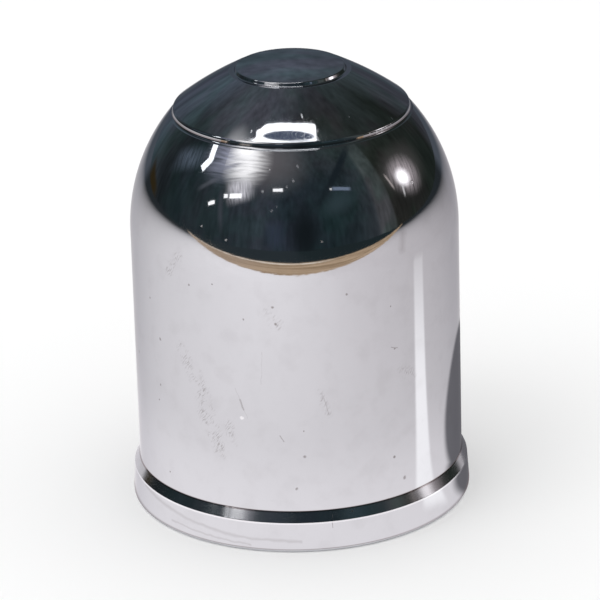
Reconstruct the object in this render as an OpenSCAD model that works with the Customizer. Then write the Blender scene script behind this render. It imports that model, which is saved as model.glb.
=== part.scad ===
// Stepped dome cover that slips over a tow ball and grips it with ribs inside.
// One moulding: wall, dome, cap, top disc, flange and ribs. The mouth lies at z = 0.

/* [Ball] */
// Diameter of the tow ball that the cover grips
ball_d = 50; // [47:0.5:53]
// Gap between the ball and the ribs
ball_gap = 0.2; // [0.1:0.05:0.5]

/* [Wall and dome] */
// Thickness of the moulded wall
wall_t = 2.1; // [1.5:0.1:2.6]
// Height at which the straight wall turns into the dome
wall_h = 51.5; // [40:0.5:65]
// Radius of the arc that the dome follows in section
dome_r = 33.3; // [32:0.1:38]

/* [Stepped cap] */
// Diameter of the cap at its edge
cap_d = 42.5; // [38:0.5:46]
// Radius of the arc that the cap follows in section
cap_r = 68.8; // [60:0.2:90]
// Slope of the cap at its edge, in degrees
cap_slope = 37.8; // [34:0.2:41]
// Height of the step under the cap's edge
cap_step = 0.95; // [0.6:0.05:1.4]
// How far that step leans out towards its foot
cap_step_lean = 0.15; // [0:0.05:0.3]
// Width of the ledge at the foot of that step
cap_ledge = 0.4; // [0.3:0.05:1]
// How far that ledge falls across its width
cap_ledge_fall = 0.2; // [0:0.05:0.4]

/* [Top disc] */
// Diameter of the raised disc on top
disc_d = 19.5; // [15:0.5:23]
// Height of the disc's edge
disc_step = 0.65; // [0.6:0.05:1.2]
// How far that edge leans out towards its foot
disc_step_lean = 0.25; // [0:0.05:0.4]
// Width of the flat ledge round the disc
disc_ledge = 0.95; // [0.5:0.05:1.8]
// Radius of the arc that the disc's crowned top follows
disc_crown_r = 45; // [35:1:90]

/* [Flange] */
// How far the flange stands out from the wall at its upper edge
flange_out = 1; // [0.8:0.05:2.5]
// How much further it stands out at the mouth
flange_flare = 0.4; // [0:0.05:0.5]
// Height of the flange
flange_h = 5.8; // [4:0.1:8]
// Height of the sloping shoulder above the flange
shoulder_h = 1.85; // [1:0.05:3]

/* [Ribs] */
// Number of ribs round the inside
rib_count = 8; // [6:1:12]
// Thickness of a rib
rib_t = 1.6; // [1:0.1:2.2]
// How far a rib stands in from the straight wall
rib_depth = 2.45; // [1.6:0.05:3.5]
// Height of a rib's lower end above the mouth
rib_low = 9; // [8:0.5:16]
// Height of the slope that leads the ball in between the ribs
rib_lead = 4; // [2:0.5:8]
// Distance from the axis to the ribs' upper ends
rib_end_r = 9; // [8:0.5:12]

/* [Edges] */
// Rounding of the flange's outer lower edge
rim_round = 0.8; // [0.4:0.1:1.2]
// Rounding of the raised edges
edge_round = 0.3; // [0.1:0.05:0.4]
// Rounding in the corners at the foot of the steps
foot_round = 0.25; // [0.1:0.05:0.3]

/* [Hidden] */

// Segments round the axis, along each long arc and round each small corner
round_steps = 144;
arc_steps = 14;
corner_steps = 3;
full_turn = 360;
half_turn = 180;

// Radii worked outwards from the ball
ball_r = ball_d / 2;
rib_in_r = ball_r + ball_gap;
bore_r = rib_in_r + rib_depth;
wall_r = bore_r + wall_t;
flange_top_r = wall_r + flange_out;
flange_low_r = flange_top_r + flange_flare;
mouth_r = flange_top_r - wall_t;

// Dome arc, tangent to the wall, up to the ledge under the cap
dome_mid = [wall_r - dome_r, wall_h];
cap_edge_r = cap_d / 2;
cap_foot_r = cap_edge_r + cap_step_lean;
ledge_r = cap_foot_r + cap_ledge;
ledge_z = dome_mid[1] + sqrt(pow(dome_r, 2) - pow(ledge_r - dome_mid[0], 2));
cap_foot_z = ledge_z + cap_ledge_fall;
cap_edge_z = cap_foot_z + cap_step;

// Cap arc, which leaves the cap's edge at its slope and runs in to the disc's ledge
cap_mid = [cap_edge_r - cap_r * sin(cap_slope), cap_edge_z - cap_r * cos(cap_slope)];
disc_r = disc_d / 2;
disc_foot_r = disc_r + disc_step_lean;
disc_ledge_r = disc_foot_r + disc_ledge;
disc_foot_z = cap_mid[1] + sqrt(pow(cap_r, 2) - pow(disc_ledge_r - cap_mid[0], 2));
disc_edge_z = disc_foot_z + disc_step;

// Crown of the disc, centred on the axis
crown_mid = [0, disc_edge_z - sqrt(pow(disc_crown_r, 2) - pow(disc_r, 2))];
crown_top_z = crown_mid[1] + disc_crown_r;

// Underside of the top, with a shallow pocket below the disc
under_z = disc_foot_z - wall_t;
pocket_r = disc_r - wall_t;
pocket_mid_r = disc_crown_r - wall_t;
pocket_top_z = crown_top_z - wall_t;

// Height of the ball's centre, when the ball rests against the underside of the top
ball_z = under_z - rib_in_r;

function unit(v) = v / norm(v);

function on_circle(mid, r, angle) = mid + r * [cos(angle), sin(angle)];

function angle_from(mid, p) = atan2(p[1] - mid[1], p[0] - mid[0]);

// Points of an arc about mid, with no rounding, after the point that the path stands at
function arc(mid, r, from, to, steps) =
    let (a = angle_from(mid, from), b = angle_from(mid, to))
    [for (i = [1:steps]) concat(on_circle(mid, r, a + (b - a) * i / steps), 0)];

// The arc of radius r that rounds the corner b between the points a and c
function rounded_corner(a, b, c, r) =
    let (
        u = unit(a - b),
        v = unit(c - b),
        half = acos(u * v) / 2,
        mid = b + unit(u + v) * r / sin(half),
        start = angle_from(mid, b + u * r / tan(half)),
        turn = angle_from(mid, b + v * r / tan(half)) - start,
        sweep = (turn + full_turn + half_turn) % full_turn - half_turn
    )
    [for (i = [0:corner_steps]) on_circle(mid, r, start + sweep * i / corner_steps)];

function flat(p) = [p[0], p[1]];

// A closed outline from a path of [radius, height, rounding]
function outline(path) =
    let (n = len(path))
    [for (i = [0:n - 1])
        each path[i][2] == 0
            ? [flat(path[i])]
            : rounded_corner(
                flat(path[(i + n - 1) % n]), flat(path[i]), flat(path[(i + 1) % n]), path[i][2]
            )];

// Path down the inside, at a given depth below the cap, its edge, the dome and the wall
function inside_path(depth) =
    let (
        top_z = disc_foot_z - depth,
        top_r = cap_mid[0] + sqrt(pow(cap_r - depth, 2) - pow(top_z - cap_mid[1], 2)),
        cap_low = on_circle(cap_mid, cap_r - depth, angle_from(cap_mid, [cap_edge_r, cap_edge_z])),
        dome_high = on_circle(dome_mid, dome_r - depth, angle_from(dome_mid, [ledge_r, ledge_z])),
        low = [wall_r - depth, wall_h]
    )
    concat(
        [[top_r, top_z, 0]],
        arc(cap_mid, cap_r - depth, [top_r, top_z], cap_low, corner_steps),
        [concat(dome_high, 0)],
        arc(dome_mid, dome_r - depth, dome_high, low, arc_steps)
    );

// Section of the whole shell, from the mouth up the outside and down the inside
shell_path = concat(
    [
        [mouth_r, 0, foot_round],
        [flange_low_r, 0, rim_round],
        [flange_top_r, flange_h, foot_round],
        [wall_r, flange_h + shoulder_h, edge_round],
        [wall_r, wall_h, 0]
    ],
    arc(dome_mid, dome_r, [wall_r, wall_h], [ledge_r, ledge_z], arc_steps),
    [
        [cap_foot_r, cap_foot_z, foot_round],
        [cap_edge_r, cap_edge_z, edge_round]
    ],
    arc(cap_mid, cap_r, [cap_edge_r, cap_edge_z], [disc_ledge_r, disc_foot_z], arc_steps / 2),
    [
        [disc_foot_r, disc_foot_z, foot_round],
        [disc_r, disc_edge_z, edge_round]
    ],
    arc(crown_mid, disc_crown_r, [disc_r, disc_edge_z], [0, crown_top_z], arc_steps / 2),
    [[0, pocket_top_z, 0]],
    arc(crown_mid, pocket_mid_r, [0, pocket_top_z], [pocket_r, disc_edge_z - wall_t], corner_steps),
    [[pocket_r, under_z, 0]],
    inside_path(wall_t),
    [
        [bore_r, flange_h + shoulder_h - wall_t / 2, edge_round],
        [mouth_r, flange_h - wall_t / 2, edge_round]
    ]
);

// Section of a rib, rooted half way into the wall and hollowed to seat the ball
rib_path = concat(
    [[rib_end_r, disc_foot_z - wall_t / 2, 0]],
    inside_path(wall_t / 2),
    [
        [wall_r - wall_t / 2, rib_low, 0],
        [bore_r, rib_low, 0],
        [rib_in_r, rib_low + rib_lead, 0],
        [rib_in_r, ball_z, 0]
    ],
    arc(
        [0, ball_z],
        rib_in_r,
        [rib_in_r, ball_z],
        on_circle([0, ball_z], rib_in_r, acos(rib_end_r / rib_in_r)),
        arc_steps
    )
);

module shell() {
    rotate_extrude($fn = round_steps) polygon(outline(shell_path));
}

module rib() {
    rotate([90, 0, 0]) linear_extrude(height = rib_t, center = true) polygon(outline(rib_path));
}

module tow_ball_cover() {
    color("silver") union() {
        shell();
        for (i = [0:rib_count - 1]) rotate([0, 0, full_turn * (i + 1 / 2) / rib_count]) rib();
    }
}

tow_ball_cover();
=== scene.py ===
"""Looks of a chrome-plated tow ball cover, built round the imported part.

The cover is one moulding, plated all over: a straight wall that turns into a dome, a stepped cap, a
crowned disc on top, a flange at the mouth and grip ribs inside. It stands on a pale studio table, and
its plating mirrors the table and the dim room round it. Lengths in the classes are millimetres and
angles are degrees, and each mesh is made in metres. Azimuth is measured about the upright axis, from
the camera's side towards the right.
"""

import logging
import math
from dataclasses import dataclass, field
from enum import Enum

import bpy
import numpy as np
from mathutils import Matrix, Vector


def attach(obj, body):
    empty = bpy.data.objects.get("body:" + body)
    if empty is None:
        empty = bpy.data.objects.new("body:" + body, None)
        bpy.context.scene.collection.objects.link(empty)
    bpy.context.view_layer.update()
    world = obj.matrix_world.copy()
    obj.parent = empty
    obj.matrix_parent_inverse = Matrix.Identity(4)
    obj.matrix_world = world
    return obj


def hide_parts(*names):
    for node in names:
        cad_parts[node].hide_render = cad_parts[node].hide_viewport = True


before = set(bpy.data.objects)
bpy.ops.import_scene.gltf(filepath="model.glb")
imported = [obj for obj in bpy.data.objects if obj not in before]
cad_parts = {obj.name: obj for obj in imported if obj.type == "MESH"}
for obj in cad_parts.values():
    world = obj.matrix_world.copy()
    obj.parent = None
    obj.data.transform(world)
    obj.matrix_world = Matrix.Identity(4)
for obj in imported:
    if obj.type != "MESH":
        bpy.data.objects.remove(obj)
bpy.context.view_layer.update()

MM = 0.001
NODE = "tow_ball_cover"
SLOT = "chrome_plating"
WATCHED_LEVEL = 62.0

Point = tuple[float, float]
Colour = tuple[float, float, float]

log = logging.getLogger("tow_ball_cover")


def unit(vector: np.ndarray) -> np.ndarray:
    """A vector scaled to length 1."""
    return vector / np.linalg.norm(vector)


def direction(azimuth: float, elevation: float) -> np.ndarray:
    """The unit vector that points to a place in the room.

    Args:
        azimuth: Degrees from the camera's side towards the right.
        elevation: Degrees above the horizon.

    Returns:
        The vector (cos e sin a, -cos e cos a, sin e).
    """
    a, e = math.radians(azimuth), math.radians(elevation)
    return np.array([math.cos(e) * math.sin(a), -math.cos(e) * math.cos(a), math.sin(e)])


@dataclass
class Surface:
    """A stretch of mesh before it goes to Blender.

    Attributes:
        points: Places of the vertices, in metres, one row each.
        faces: Vertex numbers of each face, running anticlockwise seen from outside.
        away: Outward directions at the vertices, or zeros where each face keeps its own.
        smooth: Whether the faces are shaded as one curved skin.
    """

    points: np.ndarray
    faces: list[list[int]]
    away: np.ndarray
    smooth: bool


def make_piece(name: str, surfaces: list[Surface]) -> bpy.types.Object:
    """Puts several surfaces into one object that stands at the world's origin.

    Args:
        name: Name of the object and its mesh.
        surfaces: The surfaces, which keep their order.

    Returns:
        The object, linked to the scene.
    """
    starts = np.cumsum([0] + [len(s.points) for s in surfaces])
    faces = [[start + i for i in face] for s, start in zip(surfaces, starts) for face in s.faces]
    mesh = bpy.data.meshes.new(name)
    mesh.from_pydata(np.concatenate([s.points for s in surfaces]), [], faces)
    smooth = np.concatenate([np.full(len(s.faces), s.smooth) for s in surfaces])
    mesh.polygons.foreach_set("use_smooth", smooth)
    corners = np.zeros(len(mesh.loops), np.int32)
    mesh.loops.foreach_get("vertex_index", corners)
    away = np.concatenate([s.away for s in surfaces])
    mesh.normals_split_custom_set(away[corners])
    mesh.update()
    piece = bpy.data.objects.new(name, mesh)
    bpy.context.scene.collection.objects.link(piece)
    return piece


@dataclass
class Stretch:
    """Part of a section: a run of points with their outward directions, or one corner to be rounded."""

    points: np.ndarray
    away: np.ndarray | None
    rounding: float = 0.0


class Section:
    """A section through the moulding, drawn with the material on the right of the pen."""

    def __init__(self, corner_steps: int) -> None:
        """Starts an empty section.

        Args:
            corner_steps: Steps round each small corner.
        """
        self.corner_steps = corner_steps
        self.stretches: list[Stretch] = []

    def point(self, place: Point, away: Point) -> "Section":
        """Adds one point with a known outward direction, and returns the section."""
        self.stretches.append(Stretch(np.array([place], float), np.array([away], float)))
        return self

    def corner(self, place: Point, rounding: float) -> "Section":
        """Adds a corner with a rounding radius, and returns the section."""
        self.stretches.append(Stretch(np.array([place], float), None, rounding))
        return self

    def arc(self, mid: Point, start: Point, end: Point, steps: int, side: int) -> "Section":
        """Adds the inner points of an arc: mid plus radius times (cos t, sin t) for even steps of t.

        Args:
            mid: Centre of the arc.
            start: Where the arc starts. This point isn't added.
            end: Where the arc ends. This point isn't added.
            steps: Number of steps from start to end.
            side: 1 where the outside looks away from the centre, -1 where it looks towards it.

        Returns:
            The section.
        """
        a = math.atan2(start[1] - mid[1], start[0] - mid[0])
        b = math.atan2(end[1] - mid[1], end[0] - mid[0])
        t = np.linspace(a, b, steps + 1)[1:-1]
        rays = np.stack([np.cos(t), np.sin(t)], axis=1)
        radius = math.dist(mid, start)
        self.stretches.append(Stretch(np.array(mid) + radius * rays, side * rays))
        return self

    def drawn(self) -> tuple[np.ndarray, np.ndarray]:
        """Works out every point of the section.

        Returns:
            The points and their outward directions, as arrays of (radius, height) rows.
        """
        points, away = [], []
        for i, stretch in enumerate(self.stretches):
            if stretch.away is None:
                before = self.stretches[i - 1].points[-1]
                after = self.stretches[i + 1].points[0]
                rounded = self._rounded(before, stretch.points[0], after, stretch.rounding)
                points.append(rounded[0])
                away.append(rounded[1])
            else:
                points.append(stretch.points)
                away.append(stretch.away)
        return np.concatenate(points), np.concatenate(away)

    def _rounded(
        self, before: np.ndarray, place: np.ndarray, after: np.ndarray, radius: float
    ) -> tuple[np.ndarray, np.ndarray]:
        """The arc that touches both sides of a corner.

        Args:
            before: The point before the corner.
            place: The sharp corner.
            after: The point after the corner.
            radius: Radius of the arc.

        Returns:
            Points of the arc and their outward directions.
        """
        u, v = unit(before - place), unit(after - place)
        half = math.acos(float(np.clip(u @ v, -1, 1))) / 2
        mid = place + unit(u + v) * radius / math.sin(half)
        start = place + u * radius / math.tan(half) - mid
        end = place + v * radius / math.tan(half) - mid
        a = math.atan2(start[1], start[0])
        sweep = math.remainder(math.atan2(end[1], end[0]) - a, 2 * math.pi)
        t = a + sweep * np.linspace(0, 1, self.corner_steps + 1)
        rays = np.stack([np.cos(t), np.sin(t)], axis=1)
        turns_right = u[0] * v[1] - u[1] * v[0] > 0
        return mid + radius * rays, rays if turns_right else -rays


@dataclass
class CoverShell:
    """The revolved skin of the cover, from the crown of the disc round the mouth and up inside.

    The sizes are the part's own, but for a few hundredths: the corners at the cap's step are a little
    softer, and the disc's edge leans a little further.
    """

    ball_r: float = 25.0
    ball_gap: float = 0.2
    rib_depth: float = 2.45
    wall_t: float = 2.1
    wall_h: float = 51.5
    dome_r: float = 33.3
    cap_edge_r: float = 21.25
    cap_r: float = 68.8
    cap_slope: float = 37.8
    cap_step: float = 0.95
    cap_step_lean: float = 0.15
    cap_ledge: float = 0.4
    cap_ledge_fall: float = 0.2
    disc_r: float = 9.75
    disc_step: float = 0.65
    disc_step_lean: float = 0.31
    disc_ledge: float = 0.89
    crown_r: float = 45.0
    flange_out: float = 1.0
    flange_flare: float = 0.4
    flange_h: float = 5.8
    shoulder_h: float = 1.85
    rim_round: float = 0.8
    edge_round: float = 0.3
    foot_round: float = 0.25
    cap_edge_round: float = 0.8
    cap_foot_round: float = 0.62
    round_steps: int = 240
    corner_steps: int = 6
    crown_steps: int = 24
    cap_steps: int = 40
    dome_steps: int = 84
    inside_steps: int = 14

    def __post_init__(self) -> None:
        """Works out the heights and arc centres that follow from the sizes."""
        self.rib_in_r = self.ball_r + self.ball_gap
        self.bore_r = self.rib_in_r + self.rib_depth
        self.wall_r = self.bore_r + self.wall_t
        self.flange_top_r = self.wall_r + self.flange_out
        self.flange_low_r = self.flange_top_r + self.flange_flare
        self.mouth_r = self.flange_top_r - self.wall_t
        self.dome_mid = (self.wall_r - self.dome_r, self.wall_h)
        self.cap_foot_r = self.cap_edge_r + self.cap_step_lean
        self.ledge_r = self.cap_foot_r + self.cap_ledge
        self.ledge_z = self.wall_h + math.sqrt(self.dome_r**2 - (self.ledge_r - self.dome_mid[0]) ** 2)
        self.cap_foot_z = self.ledge_z + self.cap_ledge_fall
        self.cap_edge_z = self.cap_foot_z + self.cap_step
        slope = math.radians(self.cap_slope)
        self.cap_mid = (
            self.cap_edge_r - self.cap_r * math.sin(slope),
            self.cap_edge_z - self.cap_r * math.cos(slope),
        )
        self.disc_foot_r = self.disc_r + self.disc_step_lean
        self.disc_ledge_r = self.disc_foot_r + self.disc_ledge
        self.disc_foot_z = self.cap_mid[1] + math.sqrt(
            self.cap_r**2 - (self.disc_ledge_r - self.cap_mid[0]) ** 2
        )
        self.disc_edge_z = self.disc_foot_z + self.disc_step
        self.crown_mid = (0.0, self.disc_edge_z - math.sqrt(self.crown_r**2 - self.disc_r**2))
        self.crown_top_z = self.crown_mid[1] + self.crown_r
        self.under_z = self.disc_foot_z - self.wall_t
        self.ball_z = self.under_z - self.rib_in_r

    def inside(self, depth: float) -> tuple[Point, Point, Point, Point]:
        """The points where the inner arcs start and end, at a depth below the skin.

        Args:
            depth: Distance in from the outer surface.

        Returns:
            The top of the wall, the dome's upper end, the cap's lower end and the cap's upper end.
        """
        edge = unit(np.array([self.cap_edge_r, self.cap_edge_z]) - self.cap_mid)
        ledge = unit(np.array([self.ledge_r, self.ledge_z]) - self.dome_mid)
        cap_low = np.array(self.cap_mid) + (self.cap_r - depth) * edge
        dome_high = np.array(self.dome_mid) + (self.dome_r - depth) * ledge
        top_z = self.disc_foot_z - depth
        top_r = self.cap_mid[0] + math.sqrt((self.cap_r - depth) ** 2 - (top_z - self.cap_mid[1]) ** 2)
        return (self.wall_r - depth, self.wall_h), tuple(dome_high), tuple(cap_low), (top_r, top_z)

    def section(self) -> tuple[np.ndarray, np.ndarray]:
        """The whole section: down the outside from the crown, round the mouth and up the inside.

        Returns:
            Points and outward directions in millimetres. The first and the last point are on the axis.
        """
        pocket_r, pocket_edge_z = self.disc_r - self.wall_t, self.disc_edge_z - self.wall_t
        pocket_top_z = self.crown_top_z - self.wall_t
        wall_top, dome_high, cap_low, cap_top = self.inside(self.wall_t)
        disc_edge = (self.disc_r, self.disc_edge_z)
        disc_ledge = (self.disc_ledge_r, self.disc_foot_z)
        cap_edge = (self.cap_edge_r, self.cap_edge_z)
        ledge = (self.ledge_r, self.ledge_z)
        wall = (self.wall_r, self.wall_h)
        shoulder_z = self.flange_h + self.shoulder_h
        pen = Section(self.corner_steps)
        pen.point((0, self.crown_top_z), (0, 1))
        pen.arc(self.crown_mid, (0, self.crown_top_z), disc_edge, self.crown_steps, 1)
        pen.corner(disc_edge, self.edge_round)
        pen.corner((self.disc_foot_r, self.disc_foot_z), self.foot_round)
        pen.corner(disc_ledge, self.edge_round)
        pen.arc(self.cap_mid, disc_ledge, cap_edge, self.cap_steps, 1)
        pen.corner(cap_edge, self.cap_edge_round)
        pen.corner((self.cap_foot_r, self.cap_foot_z), self.cap_foot_round)
        pen.corner(ledge, self.edge_round)
        pen.arc(self.dome_mid, ledge, wall, self.dome_steps, 1)
        pen.point(wall, (1, 0))
        pen.corner((self.wall_r, shoulder_z), self.edge_round)
        pen.corner((self.flange_top_r, self.flange_h), self.edge_round)
        pen.corner((self.flange_low_r, 0), self.rim_round)
        pen.corner((self.mouth_r, 0), self.foot_round)
        pen.corner((self.mouth_r, self.flange_h - self.wall_t / 2), self.edge_round)
        pen.corner((self.bore_r, shoulder_z - self.wall_t / 2), self.edge_round)
        pen.point(wall_top, (-1, 0))
        pen.arc(self.dome_mid, wall_top, dome_high, self.inside_steps, -1)
        pen.corner(dome_high, self.edge_round)
        pen.corner(cap_low, self.edge_round)
        pen.arc(self.cap_mid, cap_low, cap_top, self.inside_steps, -1)
        pen.corner(cap_top, self.foot_round)
        pen.corner((pocket_r, self.under_z), self.foot_round)
        pen.corner((pocket_r, pocket_edge_z), self.foot_round)
        pen.arc(self.crown_mid, (pocket_r, pocket_edge_z), (0, pocket_top_z), self.inside_steps, -1)
        pen.point((0, pocket_top_z), (0, -1))
        return pen.drawn()

    def surface(self) -> Surface:
        """Carries the section round the axis: (r cos t, r sin t, z), closed in a point at both ends.

        Returns:
            The skin, with one ring of points for each point of the section that is off the axis.
        """
        points, away = self.section()
        t = np.arange(self.round_steps) * 2 * math.pi / self.round_steps
        rings = self._turned(points[1:-1], t) * MM
        skin = np.concatenate([[(0, 0, points[0][1] * MM)], rings, [(0, 0, points[-1][1] * MM)]])
        out = np.concatenate([[(0, 0, 1)], self._turned(away[1:-1], t), [(0, 0, -1)]])
        count = len(points) - 2
        step = np.arange(self.round_steps)
        ahead = (step + 1) % self.round_steps
        upper = 1 + np.arange(count - 1)[:, None] * self.round_steps
        lower = upper + self.round_steps
        grid = np.stack([upper + step, lower + step, lower + ahead, upper + ahead], axis=-1)
        last = 1 + (count - 1) * self.round_steps
        crown = np.stack([np.zeros_like(step), 1 + step, 1 + ahead], axis=-1)
        pocket = np.stack([np.full_like(step, len(skin) - 1), last + ahead, last + step], axis=-1)
        faces = crown.tolist() + grid.reshape(-1, 4).tolist() + pocket.tolist()
        return Surface(skin, faces, out, smooth=True)

    @staticmethod
    def _turned(section: np.ndarray, t: np.ndarray) -> np.ndarray:
        """Rows of (radius, height) turned to each angle t, ring after ring."""
        r, z = section[:, :1], section[:, 1:]
        turned = np.stack([r * np.cos(t), r * np.sin(t), z + 0 * t], axis=-1)
        return turned.reshape(-1, 3)


@dataclass
class GripRibs:
    """The ribs inside the shell. Each is rooted half way into the wall and hollowed to seat the ball."""

    shell: CoverShell
    count: int = 8
    thickness: float = 1.6
    low: float = 9.0
    lead: float = 4.0
    end_r: float = 9.0

    def section(self) -> np.ndarray:
        """Outline of one rib as (radius, height) rows, in millimetres."""
        shell = self.shell
        root = shell.wall_t / 2
        wall_top, dome_high, cap_low, cap_top = shell.inside(root)
        seat = (0.0, shell.ball_z)
        seat_end = (self.end_r, shell.ball_z + math.sqrt(shell.rib_in_r**2 - self.end_r**2))
        seat_start = (shell.rib_in_r, shell.ball_z)
        pen = Section(shell.corner_steps)
        pen.point((self.end_r, shell.disc_foot_z - root), (0, 1))
        pen.point(cap_top, (0, 1))
        pen.arc(shell.cap_mid, cap_top, cap_low, shell.inside_steps, 1)
        pen.point(cap_low, (1, 0))
        pen.point(dome_high, (1, 0))
        pen.arc(shell.dome_mid, dome_high, wall_top, shell.inside_steps, 1)
        pen.point(wall_top, (1, 0))
        pen.point((wall_top[0], self.low), (1, 0))
        pen.point((shell.bore_r, self.low), (0, -1))
        pen.point((shell.rib_in_r, self.low + self.lead), (-1, 0))
        pen.point(seat_start, (-1, 0))
        pen.arc(seat, seat_start, seat_end, shell.inside_steps, -1)
        pen.point(seat_end, (-1, 0))
        return pen.drawn()[0]

    def surfaces(self) -> list[Surface]:
        """Gives the outline its thickness, once for each rib, at even turns round the axis.

        Returns:
            One closed surface for each rib.
        """
        outline = self.section()
        count = len(outline)
        i = np.arange(count)
        ahead = (i + 1) % count
        sides = np.stack([i, i + count, ahead + count, ahead], axis=-1).tolist()
        faces = [i.tolist(), (i[::-1] + count).tolist()] + sides
        ribs = []
        for k in range(self.count):
            t = 2 * math.pi * (k + 1 / 2) / self.count
            along = np.array([math.cos(t), math.sin(t), 0])
            across = np.array([-math.sin(t), math.cos(t), 0]) * self.thickness / 2
            middle = outline[:, :1] * along + outline[:, 1:] * np.array([0, 0, 1])
            points = np.concatenate([middle - across, middle + across]) * MM
            ribs.append(Surface(points, faces, np.zeros_like(points), smooth=False))
        return ribs


Plug = "bpy.types.NodeSocket | float | tuple[float, ...]"


class Wiring:
    """Shorthand for adding shader nodes to a tree and joining them."""

    def __init__(self, tree: bpy.types.NodeTree) -> None:
        """Works on one node tree."""
        self.tree = tree

    def add(self, kind: str, **settings: object) -> bpy.types.Node:
        """Adds a node of a kind and sets its properties.

        Args:
            kind: The node's type, without the words ShaderNode.
            settings: Properties of the node by name.

        Returns:
            The node.
        """
        node = self.tree.nodes.new("ShaderNode" + kind)
        for name, value in settings.items():
            setattr(node, name, value)
        return node

    def feed(self, target: bpy.types.NodeSocket, source: Plug) -> None:
        """Joins a socket to another, or gives it a constant."""
        if isinstance(source, bpy.types.NodeSocket):
            self.tree.links.new(source, target)
        else:
            target.default_value = source

    def math(self, operation: str, *terms: Plug, clamp: bool = False) -> bpy.types.NodeSocket:
        """Adds a Math node and returns its result."""
        node = self.add("Math", operation=operation, use_clamp=clamp)
        for target, term in zip(node.inputs, terms):
            self.feed(target, term)
        return node.outputs[0]

    def ease(self, value: Plug, start: float, end: float) -> bpy.types.NodeSocket:
        """A smooth rise from 0 at start to 1 at end, or a fall where end is the smaller."""
        node = self.add("MapRange", interpolation_type="SMOOTHSTEP")
        low, high, out = (start, end, (0.0, 1.0)) if start < end else (end, start, (1.0, 0.0))
        for target, term in zip(node.inputs, (value, low, high, *out)):
            self.feed(target, term)
        return node.outputs[0]

    def mix(self, share: Plug, first: Plug, second: Plug) -> bpy.types.NodeSocket:
        """Blends two colours by a share of the second and returns the result."""
        node = self.add("Mix", data_type="RGBA")
        self.feed(node.inputs["Factor"], share)
        self.feed(node.inputs[6], first)
        self.feed(node.inputs[7], second)
        return node.outputs[2]

    def place(self) -> tuple[bpy.types.NodeSocket, ...]:
        """The object coordinates and their x, y and z."""
        node = self.add("TexCoord")
        split = self.add("SeparateXYZ")
        self.feed(split.inputs[0], node.outputs["Object"])
        return node.outputs["Object"], *split.outputs

    def noise(self, vector: Plug, scale: float, detail: float = 2.0) -> bpy.types.NodeSocket:
        """The value of a noise texture along a vector."""
        node = self.add("TexNoise")
        self.feed(node.inputs["Vector"], vector)
        self.feed(node.inputs["Scale"], scale)
        self.feed(node.inputs["Detail"], detail)
        return node.outputs["Fac"]


class Kind(Enum):
    """What a socket of a node group carries."""

    VALUE = "NodeSocketFloat"
    VECTOR = "NodeSocketVector"


class EffectGroup:
    """A shader node group with named inputs and outputs, built once."""

    name = "effect"
    inputs: dict[str, Kind] = {}
    outputs: dict[str, Kind] = {}

    def __init__(self) -> None:
        """Makes the group with its sockets and lets the effect wire itself."""
        self.tree = bpy.data.node_groups.new(self.name, "ShaderNodeTree")
        for label, kind in self.inputs.items():
            self.tree.interface.new_socket(label, in_out="INPUT", socket_type=kind.value)
        for label, kind in self.outputs.items():
            self.tree.interface.new_socket(label, in_out="OUTPUT", socket_type=kind.value)
        self.given = self.tree.nodes.new("NodeGroupInput")
        self.result = self.tree.nodes.new("NodeGroupOutput")
        self.wire(Wiring(self.tree))

    def wire(self, w: Wiring) -> None:
        """Builds the inside of the group. Each effect has its own.

        Args:
            w: Wiring of the group's tree.
        """
        raise NotImplementedError

    def use(self, w: Wiring, **values: Plug) -> bpy.types.Node:
        """Places the group in a material.

        Args:
            w: Wiring of the material's tree.
            values: Inputs by name, with underscores for spaces.

        Returns:
            The group's node.
        """
        node = w.add("Group", node_tree=self.tree)
        for label, value in values.items():
            w.feed(node.inputs[label.replace("_", " ")], value)
        return node


class Hairlines(EffectGroup):
    """Thin polishing lines that run one way and come in patches."""

    name = "hairlines"
    inputs = {"Vector": Kind.VECTOR, "Turn": Kind.VECTOR, "Stretch": Kind.VECTOR, "Width": Kind.VALUE}
    outputs = {"Mask": Kind.VALUE}

    def wire(self, w: Wiring) -> None:
        """A narrow band of stretched noise, kept only where a broad noise is high."""
        turned = w.add("Mapping")
        w.feed(turned.inputs["Vector"], self.given.outputs["Vector"])
        w.feed(turned.inputs["Rotation"], self.given.outputs["Turn"])
        w.feed(turned.inputs["Scale"], self.given.outputs["Stretch"])
        band = w.math("ABSOLUTE", w.math("SUBTRACT", w.noise(turned.outputs[0], 1.0, 1.0), 0.5))
        line = w.math("SUBTRACT", 1.0, w.math("DIVIDE", band, self.given.outputs["Width"]), clamp=True)
        patch = w.ease(w.noise(self.given.outputs["Vector"], 90.0), 0.52, 0.66)
        w.feed(self.result.inputs["Mask"], w.math("MULTIPLY", line, patch))


class Specks(EffectGroup):
    """Small round nicks and grains, one in each of a share of the cells."""

    name = "specks"
    inputs = {"Vector": Kind.VECTOR, "Scale": Kind.VALUE, "Size": Kind.VALUE, "Share": Kind.VALUE}
    outputs = {"Mask": Kind.VALUE}

    def wire(self, w: Wiring) -> None:
        """Dots about the cell centres, where the cell's own random value is under the share."""
        cells = w.add("TexVoronoi")
        w.feed(cells.inputs["Vector"], self.given.outputs["Vector"])
        w.feed(cells.inputs["Scale"], self.given.outputs["Scale"])
        pick = w.add("SeparateColor")
        w.feed(pick.inputs[0], cells.outputs["Color"])
        chosen = w.math("LESS_THAN", pick.outputs[0], self.given.outputs["Share"])
        reach = w.math("MULTIPLY", pick.outputs[1], self.given.outputs["Size"])
        near = w.math("SUBTRACT", 1.0, w.math("DIVIDE", cells.outputs["Distance"], reach), clamp=True)
        dot = w.math("MULTIPLY", near, 3.0, clamp=True)
        w.feed(self.result.inputs["Mask"], w.math("MULTIPLY", dot, chosen))


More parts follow.
